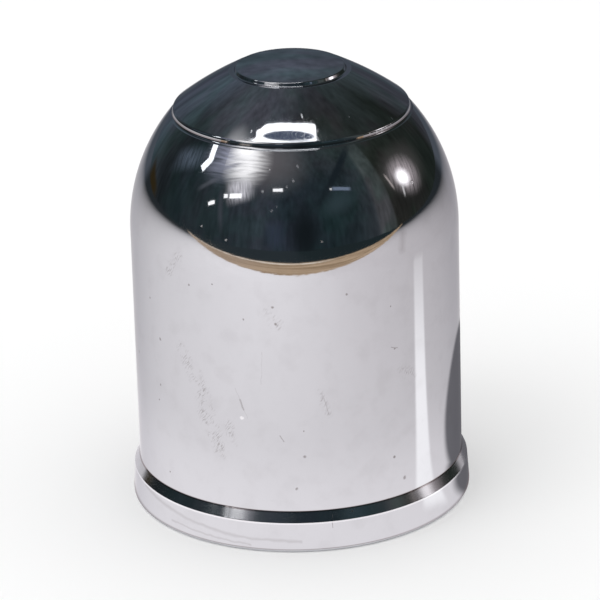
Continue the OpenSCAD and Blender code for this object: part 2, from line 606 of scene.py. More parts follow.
class Unrolled(EffectGroup):
    """The skin laid out flat: the way round the straight wall, and the height."""

    name = "unrolled"
    inputs = {"Vector": Kind.VECTOR}
    outputs = {"Flat": Kind.VECTOR}
    wall_r = 29.75 * MM

    def wire(self, w: Wiring) -> None:
        """Azimuth times the wall's radius, and z, both shifted a little by noise."""
        split = w.add("SeparateXYZ")
        w.feed(split.inputs[0], self.given.outputs["Vector"])
        azimuth = w.math("ARCTAN2", split.outputs[0], w.math("MULTIPLY", split.outputs[1], -1.0))
        sway = w.math("SUBTRACT", w.noise(self.given.outputs["Vector"], 520.0), 0.5)
        flat = w.add("CombineXYZ")
        round_wall = w.math("MULTIPLY", azimuth, self.wall_r)
        w.feed(flat.inputs[0], w.math("MULTIPLY_ADD", sway, 0.9 * MM, round_wall))
        w.feed(flat.inputs[1], w.math("MULTIPLY_ADD", sway, -0.7 * MM, split.outputs[2]))
        w.feed(self.result.inputs["Flat"], flat.outputs[0])

    @classmethod
    def spot(cls, place: Point) -> tuple[float, float, float]:
        """Where an azimuth and a height lie on the flat skin."""
        return math.radians(place[0]) * cls.wall_r, place[1] * MM, 0.0


class Hatching(EffectGroup):
    """Short fine hairs side by side that lean to the right, on the skin laid out flat."""

    name = "hatching"
    inputs = {"Flat": Kind.VECTOR}
    outputs = {"Mask": Kind.VALUE}
    lean = 38.0
    fineness = (0.20 * MM, 1.3 * MM, 1.0)

    def wire(self, w: Wiring) -> None:
        """The crests of a noise that is stretched along the hairs, thinned out by a broader noise."""
        turned = w.add("Mapping", vector_type="TEXTURE")
        w.feed(turned.inputs["Vector"], self.given.outputs["Flat"])
        w.feed(turned.inputs["Rotation"], (0.0, 0.0, -math.radians(self.lean)))
        w.feed(turned.inputs["Scale"], self.fineness)
        hairs = w.ease(w.noise(turned.outputs[0], 1.0, 2.0), 0.46, 0.68)
        patches = w.ease(w.noise(self.given.outputs["Flat"], 420.0, 1.0), 0.34, 0.56)
        w.feed(self.result.inputs["Mask"], w.math("MULTIPLY", hairs, patches))


class Stroke(EffectGroup):
    """A line between two places on the skin laid out flat, or a spot where both are the same."""

    name = "stroke"
    inputs = {
        "Flat": Kind.VECTOR,
        "Start": Kind.VECTOR,
        "End": Kind.VECTOR,
        "Width": Kind.VALUE,
        "Edge": Kind.VALUE,
    }
    outputs = {"Mask": Kind.VALUE}

    def wire(self, w: Wiring) -> None:
        """How far inside the half width a place is, over the width of the soft edge."""
        start, end = self.given.outputs["Start"], self.given.outputs["End"]
        here = self._vector(w, "SUBTRACT", self.given.outputs["Flat"], start)
        line = self._vector(w, "SUBTRACT", end, start)
        reach = self._vector(w, "DOT_PRODUCT", line, line)
        along = w.math("DIVIDE", self._vector(w, "DOT_PRODUCT", here, line), reach, clamp=True)
        scaled = w.add("VectorMath", operation="SCALE")
        w.feed(scaled.inputs[0], line)
        w.feed(scaled.inputs["Scale"], along)
        off = self._vector(w, "DISTANCE", here, scaled.outputs[0])
        inside = w.math("SUBTRACT", self.given.outputs["Width"], off)
        w.feed(self.result.inputs["Mask"], w.math("DIVIDE", inside, self.given.outputs["Edge"], clamp=True))

    @staticmethod
    def _vector(w: Wiring, operation: str, a: Plug, b: Plug) -> bpy.types.NodeSocket:
        """The result of a Vector Math node."""
        node = w.add("VectorMath", operation=operation)
        w.feed(node.inputs[0], a)
        w.feed(node.inputs[1], b)
        return node.outputs["Value" if operation in ("DOT_PRODUCT", "DISTANCE") else "Vector"]


@dataclass(frozen=True)
class Mark:
    """Where one mark lies on the skin: a mark of use, a painted highlight or part of a painted reflection.

    Attributes:
        start: Azimuth and height of one end.
        end: Azimuth and height of the other end, or the same place for a spot.
        width: Half its width.
        edge: How much of the width is a soft edge.
    """

    start: Point
    end: Point
    width: float
    edge: float

    @classmethod
    def spot(cls, azimuth: float, height: float, size: float) -> "Mark":
        """A round spot with half a given size."""
        return cls((azimuth, height), (azimuth, height), size, size * 0.6)


@dataclass(frozen=True)
class ChromePlate:
    """Bright chrome on moulded plastic: a slightly uneven mirror with small marks of use, painted highlights,
    a painted reflection and painted shade in two bands.
    """

    colour: Colour = (0.645, 0.65, 0.675)
    grazing_tint: Colour = (0.72, 0.72, 0.74)
    dull: Colour = (0.20, 0.175, 0.165)
    pale: Colour = (0.97, 0.97, 0.99)
    roughness: float = 0.04
    worn_roughness: float = 0.34
    shoulder_roughness: float = 0.09
    ripple_scale: float = 75.0
    ripple_depth: float = 0.016
    polish_depth: float = 0.0010
    pit_depth: float = 0.004
    # A dull reddish colour painted in two bands: painted shade on the cap's step, and grime with painted
    # shade in the crease at the shoulder's top.
    grime_and_shade: Colour = (0.25, 0.19, 0.185)
    grime_and_shade_bands: tuple[Point, ...] = ((73.45, 73.80), (7.40, 7.75))
    # Heights of the flange's upper edge, painted pale as a highlight.
    flange_highlight_band: Point = (5.47, 5.83)
    shoulder_band: Point = (5.95, 7.50)
    scratches: tuple[Mark, ...] = (
        Mark((-22.4, 31.0), (-20.9, 28.9), 0.10, 0.22),
        Mark((-20.9, 28.9), (-19.6, 27.0), 0.26, 0.24),
        Mark((-19.6, 27.0), (-18.4, 25.4), 0.10, 0.22),
        Mark((-12.2, 38.3), (-12.9, 32.1), 0.06, 0.12),
        Mark((9.9, 7.0), (9.8, 4.6), 0.09, 0.07),
        Mark((7.9, 29.9), (9.6, 26.4), 0.09, 0.09),
        Mark((-6.8, 22.3), (-5.6, 21.2), 0.14, 0.12),
        Mark((33.6, 36.8), (36.4, 36.3), 0.14, 0.12),
    )
    smudges: tuple[Mark, ...] = (
        Mark((-44.0, 36.5), (-38.5, 31.0), 1.7, 1.6),
        Mark((-37.5, 31.5), (-33.5, 26.0), 2.2, 1.6),
        Mark((-34.5, 25.0), (-28.5, 18.5), 2.2, 1.7),
        Mark((-25.3, 23.7), (-24.0, 20.0), 1.3, 1.3),
        Mark((-11.0, 45.6), (-6.8, 43.6), 1.5, 1.4),
        Mark((7.0, 30.5), (9.8, 26.0), 1.0, 1.0),
        Mark((38.5, 32.0), (42.5, 30.0), 1.6, 1.6),
        Mark((-49.5, 50.5), (-44.0, 54.0), 1.4, 1.4),
    )
    spots: tuple[Mark, ...] = (
        Mark.spot(-39.6, 49.1, 0.30),
        Mark.spot(-29.6, 50.1, 0.22),
        Mark.spot(-62.0, 43.4, 0.26),
        Mark.spot(-55.5, 36.2, 0.36),
        Mark.spot(-56.8, 27.3, 0.32),
        Mark.spot(-57.9, 24.1, 0.24),
        Mark.spot(-8.2, 46.9, 0.34),
        Mark.spot(-7.2, 43.7, 0.34),
        Mark.spot(-18.5, 44.3, 0.24),
        Mark.spot(17.1, 48.6, 0.30),
        Mark.spot(33.7, 44.6, 0.22),
        Mark.spot(35.0, 36.4, 0.30),
        Mark.spot(1.2, 18.3, 0.36),
        Mark.spot(0.8, 23.4, 0.20),
        Mark.spot(-1.6, 12.0, 0.40),
        Mark.spot(38.1, 10.9, 0.50),
        Mark.spot(17.1, 7.0, 0.24),
        Mark.spot(31.1, 7.6, 0.26),
    )
    # Dulled lines: a wipe on the dome, a painted reflection of a line on the table that curves along the
    # flange, and a fainter wipe below it.
    wipes_and_painted_reflections: tuple[Mark, ...] = (
        Mark((40.6, 57.3), (39.2, 54.6), 1.1, 1.1),
        Mark((-68.0, 5.5), (-43.0, 3.7), 0.55, 0.55),
        Mark((-43.0, 3.7), (-25.0, 2.7), 0.50, 0.50),
        Mark((-25.0, 2.7), (-1.0, 2.3), 0.42, 0.42),
        Mark((-50.0, 2.2), (-18.0, 1.3), 0.30, 0.30),
    )
    # Painted highlights: pale, rougher spots and dashes where bright lights glint on the wall, the dome, the
    # cap's edge and the disc's step, and a painted glare on the cap's step.
    painted_glints: tuple[Mark, ...] = (
        Mark.spot(-20.4, 25.4, 0.42),
        Mark.spot(-12.1, 67.1, 0.34),
        Mark.spot(-24.7, 58.7, 0.36),
        Mark.spot(-8.3, 64.1, 0.42),
        Mark.spot(1.9, 70.9, 0.36),
        Mark.spot(-0.2, 68.8, 0.40),
        Mark.spot(-2.3, 67.7, 0.26),
        Mark.spot(-34.8, 60.3, 0.34),
        Mark.spot(-6.5, 64.8, 0.24),
        Mark.spot(9.2, 58.7, 0.26),
        Mark.spot(6.2, 77.7, 0.32),
        Mark.spot(59.3, 74.6, 0.30),
        Mark.spot(34.1, 76.7, 0.26),
        Mark.spot(-21.3, 75.6, 0.28),
        Mark.spot(40.0, 74.0, 0.30),
        Mark.spot(44.5, 73.8, 0.42),
        Mark.spot(48.0, 73.9, 0.50),
        Mark.spot(51.5, 74.0, 0.44),
        Mark.spot(55.5, 74.1, 0.30),
        Mark((-27.0, 81.15), (-12.0, 81.15), 0.35, 0.25),
        Mark((-24.0, 73.6), (-20.5, 73.6), 1.5, 2.2),
    )

    def material(self) -> bpy.types.Material:
        """Wires the plating.

        Returns:
            The material, named for the record's slot.
        """
        material = bpy.data.materials.new(SLOT)
        material.use_nodes = True
        w = Wiring(material.node_tree)
        place, x, y, z = w.place()
        shader = material.node_tree.nodes["Principled BSDF"]
        hairlines, specks, stroke = Hairlines(), Specks(), Stroke()
        flat = Unrolled().use(w, Vector=place).outputs[0]
        long_lines = hairlines.use(w, Vector=place, Turn=(0.5, 0.2, 0.0), Stretch=(900, 60, 900), Width=0.02)
        fine_lines = hairlines.use(w, Vector=place, Turn=(0.1, 1.1, 0.4), Stretch=(1300, 80, 700), Width=0.01)
        lines = w.math("MAXIMUM", long_lines.outputs[0], fine_lines.outputs[0])
        nicks = specks.use(w, Vector=place, Scale=420.0, Size=0.20, Share=0.02).outputs[0]
        grains = specks.use(w, Vector=place, Scale=240.0, Size=0.10, Share=0.03).outputs[0]
        smudged = self._marked(w, stroke, self.smudges, flat)
        hatched = w.math("MULTIPLY", smudged, Hatching().use(w, Flat=flat).outputs[0])
        dark = self._strongest(
            w,
            (nicks, 0.7),
            (hatched, 0.52),
            (self._marked(w, stroke, self.scratches, flat), 0.48),
            (self._marked(w, stroke, self.spots, flat), 0.62),
        )
        # Dulled by wiping marks and by a painted reflection on the flange.
        wipe_and_reflection_mask = self._marked(w, stroke, self.wipes_and_painted_reflections, flat)
        tarnish = w.ease(w.noise(place, 240.0, 4.0), 0.45, 0.75)
        # Painted highlight: a pale line along the flange's upper edge.
        flange_highlight = self._band(w, z, self.flange_highlight_band)
        # Mask of the painted highlights.
        painted_glint_mask = self._marked(w, stroke, self.painted_glints, flat)
        # Pale mask: random pale grains, plus the painted highlights of the glints and the flange's upper
        # edge.
        light = self._strongest(w, (grains, 0.7), (painted_glint_mask, 1.0), (flange_highlight, 0.6))
        # Painted shade on the cap's step, and grime with painted shade in the crease at the shoulder's top.
        grimy_shaded_creases = self._strongest(w, *[(self._band(w, z, band), 0.62) for band in self.grime_and_shade_bands])
        dulled = self._strongest(w, (dark, 1.0), (wipe_and_reflection_mask, 0.24), (tarnish, 0.07))
        colour = w.mix(dulled, (*self.colour, 1.0), (*self.dull, 1.0))
        colour = w.mix(grimy_shaded_creases, colour, (*self.grime_and_shade, 1.0))
        w.feed(shader.inputs["Base Color"], w.mix(light, colour, (*self.pale, 1.0)))
        marks = w.math("MAXIMUM", dark, light)
        worn = self._strongest(w, (marks, self.worn_roughness), (lines, 0.22 * self.worn_roughness))
        shoulder = w.math("MULTIPLY", self._band(w, z, self.shoulder_band), self.shoulder_roughness)
        mottled = w.math("MULTIPLY", shoulder, w.math("MULTIPLY_ADD", w.noise(place, 420.0, 2.0), 1.2, 0.4))
        smooth = w.math("MULTIPLY_ADD", w.ease(w.noise(place, 32.0, 4.0), 0.45, 0.75), 0.025, self.roughness)
        w.feed(shader.inputs["Roughness"], w.math("ADD", w.math("ADD", worn, smooth), mottled))
        w.feed(shader.inputs["Metallic"], 1.0)
        w.feed(shader.inputs["Specular Tint"], (*self.grazing_tint, 1.0))
        bump = w.add("Bump")
        w.feed(bump.inputs["Strength"], 1.0)
        w.feed(bump.inputs["Distance"], MM)
        w.feed(bump.inputs["Height"], self._relief(w, place, flat, w.math("MAXIMUM", nicks, grains)))
        w.feed(shader.inputs["Normal"], bump.outputs[0])
        return material

    @staticmethod
    def _strongest(w: Wiring, *masks: tuple[bpy.types.NodeSocket, float]) -> bpy.types.NodeSocket:
        """The largest of several masks, each scaled by its own strength."""
        found = None
        for mask, strength in masks:
            scaled = mask if strength == 1.0 else w.math("MULTIPLY", mask, strength)
            found = scaled if found is None else w.math("MAXIMUM", found, scaled)
        return found

    @staticmethod
    def _band(w: Wiring, z: bpy.types.NodeSocket, band: Point) -> bpy.types.NodeSocket:
        """A mask that is 1 between two heights and has soft ends."""
        low, high = band[0] * MM, band[1] * MM
        soft = 0.08 * MM
        return w.math("MULTIPLY", w.ease(z, low - soft, low + soft), w.ease(z, high + soft, high - soft))

    def _relief(
        self, w: Wiring, place: bpy.types.NodeSocket, flat: bpy.types.NodeSocket, pits: bpy.types.NodeSocket
    ) -> bpy.types.NodeSocket:
        """Height of the skin: slow ripples, fine polishing lines that run round, and shallow pits."""
        ripple = w.math("MULTIPLY", w.noise(place, self.ripple_scale, 1.0), self.ripple_depth)
        rounds = w.add("Mapping", vector_type="TEXTURE")
        w.feed(rounds.inputs["Vector"], flat)
        w.feed(rounds.inputs["Scale"], (9.0 * MM, 0.42 * MM, 1.0))
        polish = w.math("MULTIPLY", w.noise(rounds.outputs[0], 1.0, 2.0), self.polish_depth)
        height = w.math("ADD", ripple, polish)
        return w.math("SUBTRACT", height, w.math("MULTIPLY", pits, self.pit_depth))

    @staticmethod
    def _marked(
        w: Wiring, stroke: Stroke, marks: tuple[Mark, ...], flat: bpy.types.NodeSocket
    ) -> bpy.types.NodeSocket:
        """The mask of several marks at once.

        Args:
            w: Wiring of the material.
            stroke: The group that draws one mark.
            marks: Where the marks lie.
            flat: Places on the skin laid out flat.

        Returns:
            The strongest of the masks.
        """
        found = None
        for mark in marks:
            node = stroke.use(
                w,
                Flat=flat,
                Start=Unrolled.spot(mark.start),
                End=Unrolled.spot(mark.end),
                Width=mark.width * MM,
                Edge=mark.edge * MM,
            )
            found = node.outputs[0] if found is None else w.math("MAXIMUM", found, node.outputs[0])
        return found


@dataclass
class TowBallCover:
    """The whole moulding: shell and ribs in one piece, plated all over."""

    shell: CoverShell = field(default_factory=CoverShell)
    plating: ChromePlate = ChromePlate()

    def build(self) -> bpy.types.Object:
        """Makes the piece, dresses it and lets it stand for the part's solid.

        Returns:
            The piece.
        """
        ribs = GripRibs(self.shell)
        piece = make_piece("chrome_cover", [self.shell.surface(), *ribs.surfaces()])
        piece.data.materials.append(self.plating.material())
        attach(piece, "root")
        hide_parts(NODE)
        log.info("%s: %d faces, %d ribs", piece.name, len(piece.data.polygons), ribs.count)
        return piece


def show_only_in_mirror(piece: bpy.types.Object) -> None:
    """Lets the plating mirror a stage piece that neither the camera nor the light meets."""
    piece.visible_camera = False
    piece.visible_diffuse = False
    piece.visible_transmission = False
    piece.visible_shadow = False


def stage_piece(name: str, points: np.ndarray, faces: list[list[int]]) -> bpy.types.Object:
    """Makes a mesh that is part of the stage.

    Args:
        name: Name of the piece.
        points: Its vertices, in metres.
        faces: Vertex numbers of each face.

    Returns:
        The piece, linked to the scene.
    """
    mesh = bpy.data.meshes.new(name)
    mesh.from_pydata(points, [], faces)
    piece = bpy.data.objects.new(name, mesh)
    bpy.context.scene.collection.objects.link(piece)
    return piece


def glow(name: str) -> tuple[bpy.types.Material, Wiring, bpy.types.Node, bpy.types.Node]:
    """A material that glows over a share of its surface and is clear elsewhere.

    Args:
        name: Name of the material.

    Returns:
        The material, its wiring, its Emission node and the Mix Shader whose factor is the share.
    """
    material = bpy.data.materials.new(name)
    material.use_nodes = True
    material.node_tree.nodes.clear()
    w = Wiring(material.node_tree)
    emission, clear, blend, out = (
        w.add("Emission"), w.add("BsdfTransparent"), w.add("MixShader"), w.add("OutputMaterial")
    )
    w.feed(blend.inputs[1], clear.outputs[0])
    w.feed(blend.inputs[2], emission.outputs[0])
    w.feed(out.inputs["Surface"], blend.outputs[0])
    return material, w, emission, blend


class Edge(Enum):
    """How a glowing card ends."""

    CRISP = "crisp"
    FEATHERED = "feathered"
    ROUND = "round"


class Grain(Enum):
    """How fine streaks run through a glowing card: how many fit across and up it."""

    NONE = None
    UPRIGHT = (14.0, 0.9, 1.0)
    LEVEL = (0.9, 15.0, 1.0)


@dataclass(frozen=True)
class Card:
    """A card in the dim room, which the plating mirrors as a highlight or as a patch of another tone.

    Attributes:
        name: What it is.
        azimuth: Where its middle is.
        elevation: Height of its middle above the horizon, in degrees.
        width: How wide it looks from the cover, in degrees.
        height: How high it looks from the cover, in degrees.
        turn: How far it is turned anticlockwise, in degrees.
        colour: Its colour.
        strength: How bright it is, where 1 is white.
        edge: How it ends.
        full: Share of its half size inside which it doesn't fade.
        grain: Which way fine streaks run through it.
    """

    name: str
    azimuth: float
    elevation: float
    width: float
    height: float
    turn: float = 0.0
    colour: Colour = (1.0, 1.0, 1.0)
    strength: float = 1.0
    edge: Edge = Edge.CRISP
    full: float = 0.5
    grain: Grain = Grain.NONE

    def build(self, distance: float) -> bpy.types.Object:
        """Makes the card as a flat square that faces the dome, with a map from -1 to 1 across it.

        Args:
            distance: How far it is from the cover, in metres.

        Returns:
            The card.
        """
        ahead = direction(self.azimuth, self.elevation)
        right = unit(np.array([-ahead[1], ahead[0], 0.0]))
        up = np.cross(right, ahead) * -1
        t = math.radians(self.turn)
        across = (right * math.cos(t) + up * math.sin(t)) * math.tan(math.radians(self.width / 2))
        upward = (up * math.cos(t) - right * math.sin(t)) * math.tan(math.radians(self.height / 2))
        corners = np.array([(-1, -1), (1, -1), (1, 1), (-1, 1)], float)
        spread = ahead + corners[:, :1] * across + corners[:, 1:] * upward
        points = distance * spread + (0.0, 0.0, WATCHED_LEVEL * MM)
        piece = stage_piece(self.name, points, [[0, 1, 2, 3]])
        uv = piece.data.uv_layers.new(name="card")
        uv.data.foreach_set("uv", corners.ravel())
        piece.data.materials.append(self._material())
        show_only_in_mirror(piece)
        return piece

    def _material(self) -> bpy.types.Material:
        """The card's glow, which fades by its kind of edge."""
        material, w, emission, blend = glow(self.name)
        w.feed(emission.inputs["Color"], (*self.colour, 1.0))
        w.feed(emission.inputs["Strength"], self.strength)
        node = w.add("UVMap", uv_map="card")
        split = w.add("SeparateXYZ")
        w.feed(split.inputs[0], node.outputs[0])
        u, v = split.outputs[0], split.outputs[1]
        if self.edge is Edge.ROUND:
            far = w.math("SQRT", w.math("ADD", w.math("MULTIPLY", u, u), w.math("MULTIPLY", v, v)))
            share = w.ease(far, 1.0, self.full)
        elif self.edge is Edge.FEATHERED:
            share = w.math(
                "MULTIPLY",
                w.ease(w.math("ABSOLUTE", u), 1.0, self.full),
                w.ease(w.math("ABSOLUTE", v), 1.0, self.full),
            )
        else:
            share = 1.0
        if self.grain is not Grain.NONE:
            stretched = w.add("Mapping")
            w.feed(stretched.inputs["Vector"], node.outputs[0])
            w.feed(stretched.inputs["Scale"], self.grain.value)
            share = w.math("MULTIPLY", share, w.ease(w.noise(stretched.outputs[0], 1.0, 3.0), 0.22, 0.65))
        w.feed(blend.inputs[0], share)
        return material


Tones = tuple[tuple[float, Colour], ...]


@dataclass
class DimRoom:
    """The room round the table, as the plating mirrors it: dim walls, an overhead lamp and small lights."""

    radius: float = 3.0
    rings: int = 24
    turns: int = 48
    low_tones: Tones = (
        (-180, (0.100, 0.124, 0.152)),
        (-160, (0.082, 0.104, 0.130)),
        (-150, (0.090, 0.122, 0.148)),
        (-132, (0.034, 0.046, 0.050)),
        (-112, (0.016, 0.023, 0.025)),
        (-92, (0.020, 0.031, 0.036)),
        (-75, (0.024, 0.034, 0.039)),
        (-45, (0.030, 0.042, 0.050)),
        (-25, (0.042, 0.054, 0.066)),
        (-8, (0.026, 0.036, 0.047)),
        (25, (0.018, 0.032, 0.036)),
        (45, (0.022, 0.036, 0.040)),
        (60, (0.036, 0.048, 0.053)),
        (63, (0.078, 0.088, 0.090)),
        (74, (0.066, 0.074, 0.074)),
        (76, (0.023, 0.026, 0.022)),
        (138, (0.020, 0.024, 0.022)),
        (146, (0.050, 0.058, 0.064)),
        (160, (0.070, 0.084, 0.098)),
        (180, (0.100, 0.124, 0.152)),
    )
    high_tones: Tones = (
        (-180, (0.062, 0.077, 0.084)),
        (-140, (0.068, 0.080, 0.094)),
        (-110, (0.082, 0.093, 0.108)),
        (-75, (0.140, 0.145, 0.165)),
        (-40, (0.140, 0.140, 0.155)),
        (-15, (0.085, 0.086, 0.098)),
        (10, (0.048, 0.056, 0.066)),
        (45, (0.034, 0.044, 0.046)),
        (80, (0.040, 0.048, 0.050)),
        (110, (0.030, 0.034, 0.033)),
        (150, (0.040, 0.048, 0.054)),
        (180, (0.062, 0.077, 0.084)),
    )
    cards: tuple[Card, ...] = (
        Card("left_haze", -101, 26, 38, 15, 38, (0.11, 0.14, 0.18), 1.0, Edge.FEATHERED, 0.1, Grain.UPRIGHT),
        Card("brown_corner", -126.5, 0, 24, 8, -5, (0.036, 0.026, 0.011), 1.0, Edge.FEATHERED, 0.3),
        Card("left_ray", -73, 26, 3.8, 22, -45, (0.085, 0.095, 0.110), 1.0, Edge.FEATHERED, 0.2),
        Card("middle_ray", -56, 17, 6, 34, 17, (0.07, 0.078, 0.095), 1.0, Edge.FEATHERED, 0.1, Grain.UPRIGHT),
        Card("blue_patch", -14, 8, 19, 24, 0, (0.04, 0.052, 0.08), 1.0, Edge.FEATHERED, 0.2, Grain.UPRIGHT),
        Card("green_patch", 34, 24, 34, 18, 10, (0.036, 0.058, 0.066), 1.0, Edge.ROUND, 0.1),
        Card("dark_doorway", 7.5, 9, 30, 50, 0, (0.010, 0.014, 0.017), 1.0, Edge.ROUND, 0.1),
        Card("dark_beam", 42, 42, 48, 6, 35, (0.014, 0.021, 0.026), 1.0, Edge.FEATHERED, 0.3),
        Card("wide_haze", -34, 53, 74, 54, 0, (1.0, 0.95, 1.0), 0.15, Edge.ROUND, 0.0),
        Card("left_glow", -70, 43, 44, 36, 20, (0.84, 0.88, 1.12), 0.50, Edge.ROUND, 0.0, Grain.LEVEL),
        Card("cap_glow", -90, 61, 27, 20, 0, (1.0, 0.98, 1.0), 0.70, Edge.ROUND, 0.0),
        Card("hot_streaks", -45, 31, 25, 18, 28, (1.0, 0.98, 1.04), 0.9, Edge.FEATHERED, 0.2, Grain.UPRIGHT),
        Card("hot_spot", -50, 48, 40, 40, 22, (1.0, 0.99, 0.98), 1.5, Edge.ROUND, 0.15, Grain.LEVEL),
        Card("hot_top", -57, 54, 27, 19, 20, (1.0, 0.99, 0.98), 1.6, Edge.ROUND, 0.1),
        Card("hot_core", -46, 45, 20, 22, 20, (1.0, 0.99, 0.98), 1.5, Edge.ROUND, 0.1, Grain.LEVEL),
        Card("side_haze", 97, 19, 60, 30, -20, (1.0, 0.96, 0.92), 0.09, Edge.ROUND, 0.0),
        Card("side_halo", 96, 16.5, 38, 21, -28, (1.0, 0.88, 0.91), 0.85, Edge.ROUND, 0.0, Grain.UPRIGHT),
        Card("side_light", 93.5, 16.5, 18, 11, -28, (1.0, 0.97, 0.98), 2.8, Edge.ROUND, 0.0),
        Card("side_spike", 89.2, 12, 2.2, 8, -16, (1.0, 0.98, 0.98), 0.8, Edge.FEATHERED, 0.2),
        Card("side_line", 80.6, 20.5, 1.8, 12, 14, (0.50, 0.44, 0.42), 1.0, Edge.FEATHERED, 0.4),
        Card("window_bar", -86, 38.8, 4.0, 9.5, 38, (0.93, 0.97, 1.0), 2.2),
        Card("window_foot", -84, 32.4, 4.1, 7.6, -16, (0.93, 0.97, 1.0), 2.2),
        Card("long_bar", -46.9, 27.1, 8.8, 2.6, 16, (1.0, 1.0, 1.0), 1.8),
        Card("long_bar_end", -54.7, 25, 2.8, 2.3, 18, (1.0, 1.0, 1.0), 1.5),
        Card("short_bar", -64.2, 18, 5.0, 1.9, 32, (1.0, 1.0, 1.0), 1.8),
        Card("thin_bar", -13.3, 35.7, 6.8, 1.9, 4, (1.0, 1.0, 1.0), 1.5),
        Card("upper_bar", -16.6, 63.3, 8, 2.6, 8, (0.9, 0.93, 1.0), 1.2),
        Card("blue_bar", 39.6, 31.4, 15.5, 2.4, -17, (0.20, 0.25, 0.34), 1.0, Edge.FEATHERED, 0.6),
        Card("blue_bar_end", 31, 33, 2.2, 1.6, -14, (1.0, 1.0, 1.0), 0.9, Edge.FEATHERED, 0.4),
    )

    def build(self) -> list[bpy.types.Object]:
        """Makes the walls and the cards, each card a little nearer than the one before.

        Returns:
            The stage pieces.
        """
        pieces = [self._walls(), OverheadLamp().build()]
        shares = np.linspace(0.70, 0.50, len(self.cards))
        pieces += [card.build(self.radius * float(share)) for card, share in zip(self.cards, shares)]
        return pieces

    def _walls(self) -> bpy.types.Object:
        """A ball of radius R about the origin: R (cos e sin a, -cos e cos a, sin e)."""
        e = np.radians(np.linspace(-90, 90, self.rings + 1))[1:-1, None]
        a = np.arange(self.turns) * 2 * math.pi / self.turns
        ball = np.stack([np.cos(e) * np.sin(a), -np.cos(e) * np.cos(a), np.sin(e) + 0 * a], axis=-1)
        points = np.concatenate([[(0, 0, -1)], ball.reshape(-1, 3), [(0, 0, 1)]]) * self.radius
        step = np.arange(self.turns)
        ahead = (step + 1) % self.turns
        low = 1 + np.arange(self.rings - 2)[:, None] * self.turns
        grid = np.stack([low + step, low + ahead, low + ahead + self.turns, low + step + self.turns], axis=-1)
        top = 1 + (self.rings - 2) * self.turns
        floor_fan = np.stack([0 * step, 1 + ahead, 1 + step], axis=-1)
        roof_fan = np.stack([0 * step + len(points) - 1, top + step, top + ahead], axis=-1)
        faces = floor_fan.tolist() + grid.reshape(-1, 4).tolist() + roof_fan.tolist()
        piece = stage_piece("room_walls", points, faces)
        piece.data.materials.append(self._wall_paint())
        show_only_in_mirror(piece)
        return piece

    def _wall_paint(self) -> bpy.types.Material:
        """Tones that run round the room, one set on the walls and one overhead, with stains and streaks."""
        material, w, emission, blend = glow("room_walls")
        place, x, y, z = w.place()
        azimuth = w.math("ARCTAN2", x, w.math("MULTIPLY", y, -1.0))
        share_round = w.math("MULTIPLY_ADD", azimuth, 0.5 / math.pi, 0.5)
        low = self._ramp(w, self.low_tones, share_round)
        high = self._ramp(w, self.high_tones, share_round)
        rise = w.math("DIVIDE", z, self.radius)
        tone = w.mix(w.ease(rise, math.sin(math.radians(37)), math.sin(math.radians(59))), low, high)
        hue = w.ease(w.noise(place, 1.1, 3.0), 0.4, 0.6)
        stain = w.mix(hue, (0.92, 1.03, 0.98, 1.0), (1.07, 0.97, 1.02, 1.0))
        stained = w.add("Mix", data_type="RGBA", blend_type="MULTIPLY")
        w.feed(stained.inputs["Factor"], 1.0)
        w.feed(stained.inputs[6], tone)
        w.feed(stained.inputs[7], stain)
        upright = w.add("Mapping")
        w.feed(upright.inputs["Vector"], place)
        w.feed(upright.inputs["Scale"], (8.0, 8.0, 1.2))
        blotches = w.math("MULTIPLY_ADD", w.noise(place, 1.8, 5.0), 0.9, 0.35)
        streaks = w.math("MULTIPLY_ADD", w.noise(upright.outputs[0], 1.0, 4.0), 1.1, -0.35)
        w.feed(emission.inputs["Color"], stained.outputs[2])
        w.feed(emission.inputs["Strength"], w.math("ADD", blotches, streaks))
        w.feed(blend.inputs[0], 1.0)
        return material

    @staticmethod
    def _ramp(w: Wiring, tones: Tones, share: bpy.types.NodeSocket) -> bpy.types.NodeSocket:
        """A colour ramp over the full turn.

        Args:
            w: Wiring of the material.
            tones: Azimuths and their colours, in order.
            share: Share of the full turn, from 0 at -180 degrees to 1 at 180.

        Returns:
            The colour at that share.
        """
        node = w.add("ValToRGB")
        stops = node.color_ramp.elements
        while len(stops) < len(tones):
            stops.new(0.5)
        for stop, (azimuth, colour) in zip(stops, tones):
            stop.position = (azimuth + 180) / 360
            stop.color = (*colour, 1.0)
        w.feed(node.inputs[0], share)
        return node.outputs[0]


